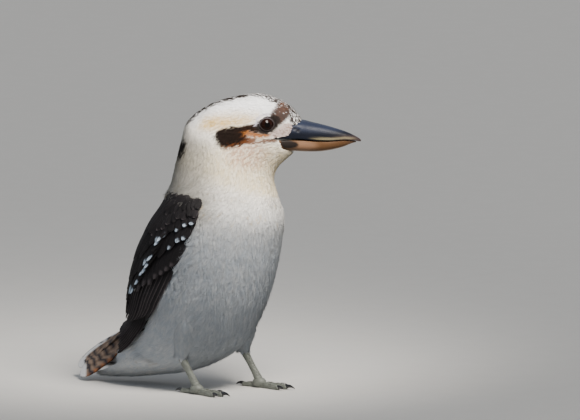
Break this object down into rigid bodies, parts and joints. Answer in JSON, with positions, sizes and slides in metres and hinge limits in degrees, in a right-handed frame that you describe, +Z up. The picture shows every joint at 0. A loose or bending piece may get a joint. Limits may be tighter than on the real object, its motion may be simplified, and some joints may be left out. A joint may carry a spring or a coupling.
{
  "type": "laughing kookaburra model",
  "caption": "Still, life-size model of a standing laughing kookaburra with its head in profile and its tail resting on the ground.",
  "frame": {"origin": "on the ground, under the middle of the bird's box", "axes": "+X the way the bill points, +Y away from the bird's right side, +Z up; the body is turned 30 degrees from +X towards -Y"},
  "size_m": [0.295, 0.1482, 0.312],
  "materials": {
    "white_plumage": "soft white and cream feathers",
    "dark_plumage": "blackish brown feathers with pale tips to the coverts",
    "tail_plumage": "rufous brown feathers barred black, with white ends",
    "dark_bill": "smooth blue-black horn",
    "horn_bill": "smooth pale horn, dark at the base",
    "eye": "wet, dark red-brown iris and black pupil",
    "leg_skin": "scaly, dull grey-green",
    "claw": "black horn"
  },
  "bodies": {
    "root": {"head": "white_plumage", "neck": "white_plumage", "torso": "white_plumage", "rump": "white_plumage", "undertail_coverts": "white_plumage", "thigh_right": "white_plumage", "thigh_left": "white_plumage", "mantle": "dark_plumage", "wing_right": "dark_plumage", "wing_left": "dark_plumage", "tail": "tail_plumage", "bill_upper": "dark_bill", "bill_lower": "horn_bill", "eye_right": "eye", "shank_right": "leg_skin", "toe_1_right": "leg_skin", "claw_1_right": "claw", "toe_2_right": "leg_skin", "claw_2_right": "claw", "toe_3_right": "leg_skin", "claw_3_right": "claw", "toe_4_right": "leg_skin", "claw_4_right": "claw", "eye_left": "eye", "shank_left": "leg_skin", "toe_1_left": "leg_skin", "claw_1_left": "claw", "toe_2_left": "leg_skin", "claw_2_left": "claw", "toe_3_left": "leg_skin", "claw_3_left": "claw", "toe_4_left": "leg_skin", "claw_4_left": "claw"}
  },
  "joints": []
}
